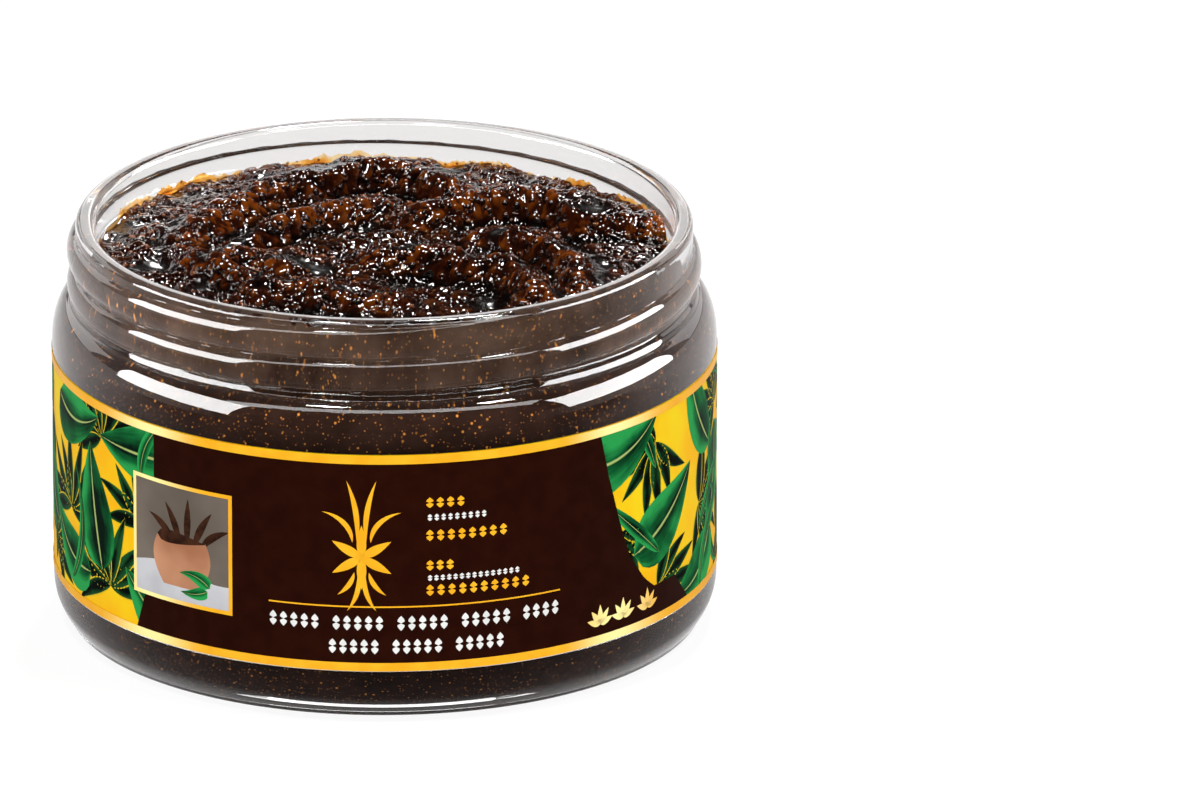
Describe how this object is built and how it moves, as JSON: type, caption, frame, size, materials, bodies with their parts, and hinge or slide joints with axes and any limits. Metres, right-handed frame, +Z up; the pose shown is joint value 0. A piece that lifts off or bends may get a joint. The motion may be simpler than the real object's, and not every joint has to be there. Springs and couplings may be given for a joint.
{
  "type": "open jar of vanilla paste",
  "caption": "Low round clear jar with a screw neck, open and filled with dark lumpy vanilla paste, with a wrap-round label.",
  "frame": {"origin": "centre of the foot ring, on the surface that the jar stands on", "axes": "+Z up along the jar's axis, -Y out of the middle of the label, +X to the right when the label is seen from the front"},
  "size_m": [0.0726, 0.0727, 0.0453],
  "materials": {
    "jar": "clear, smooth and glossy moulded plastic",
    "paste": "wet, lumpy, near-black brown paste with amber grains",
    "label": "satin printed label, dark brown with gold edges and leafy yellow sides"
  },
  "bodies": {
    "root": {"jar": "jar", "paste": "paste", "label": "label"}
  },
  "joints": []
}
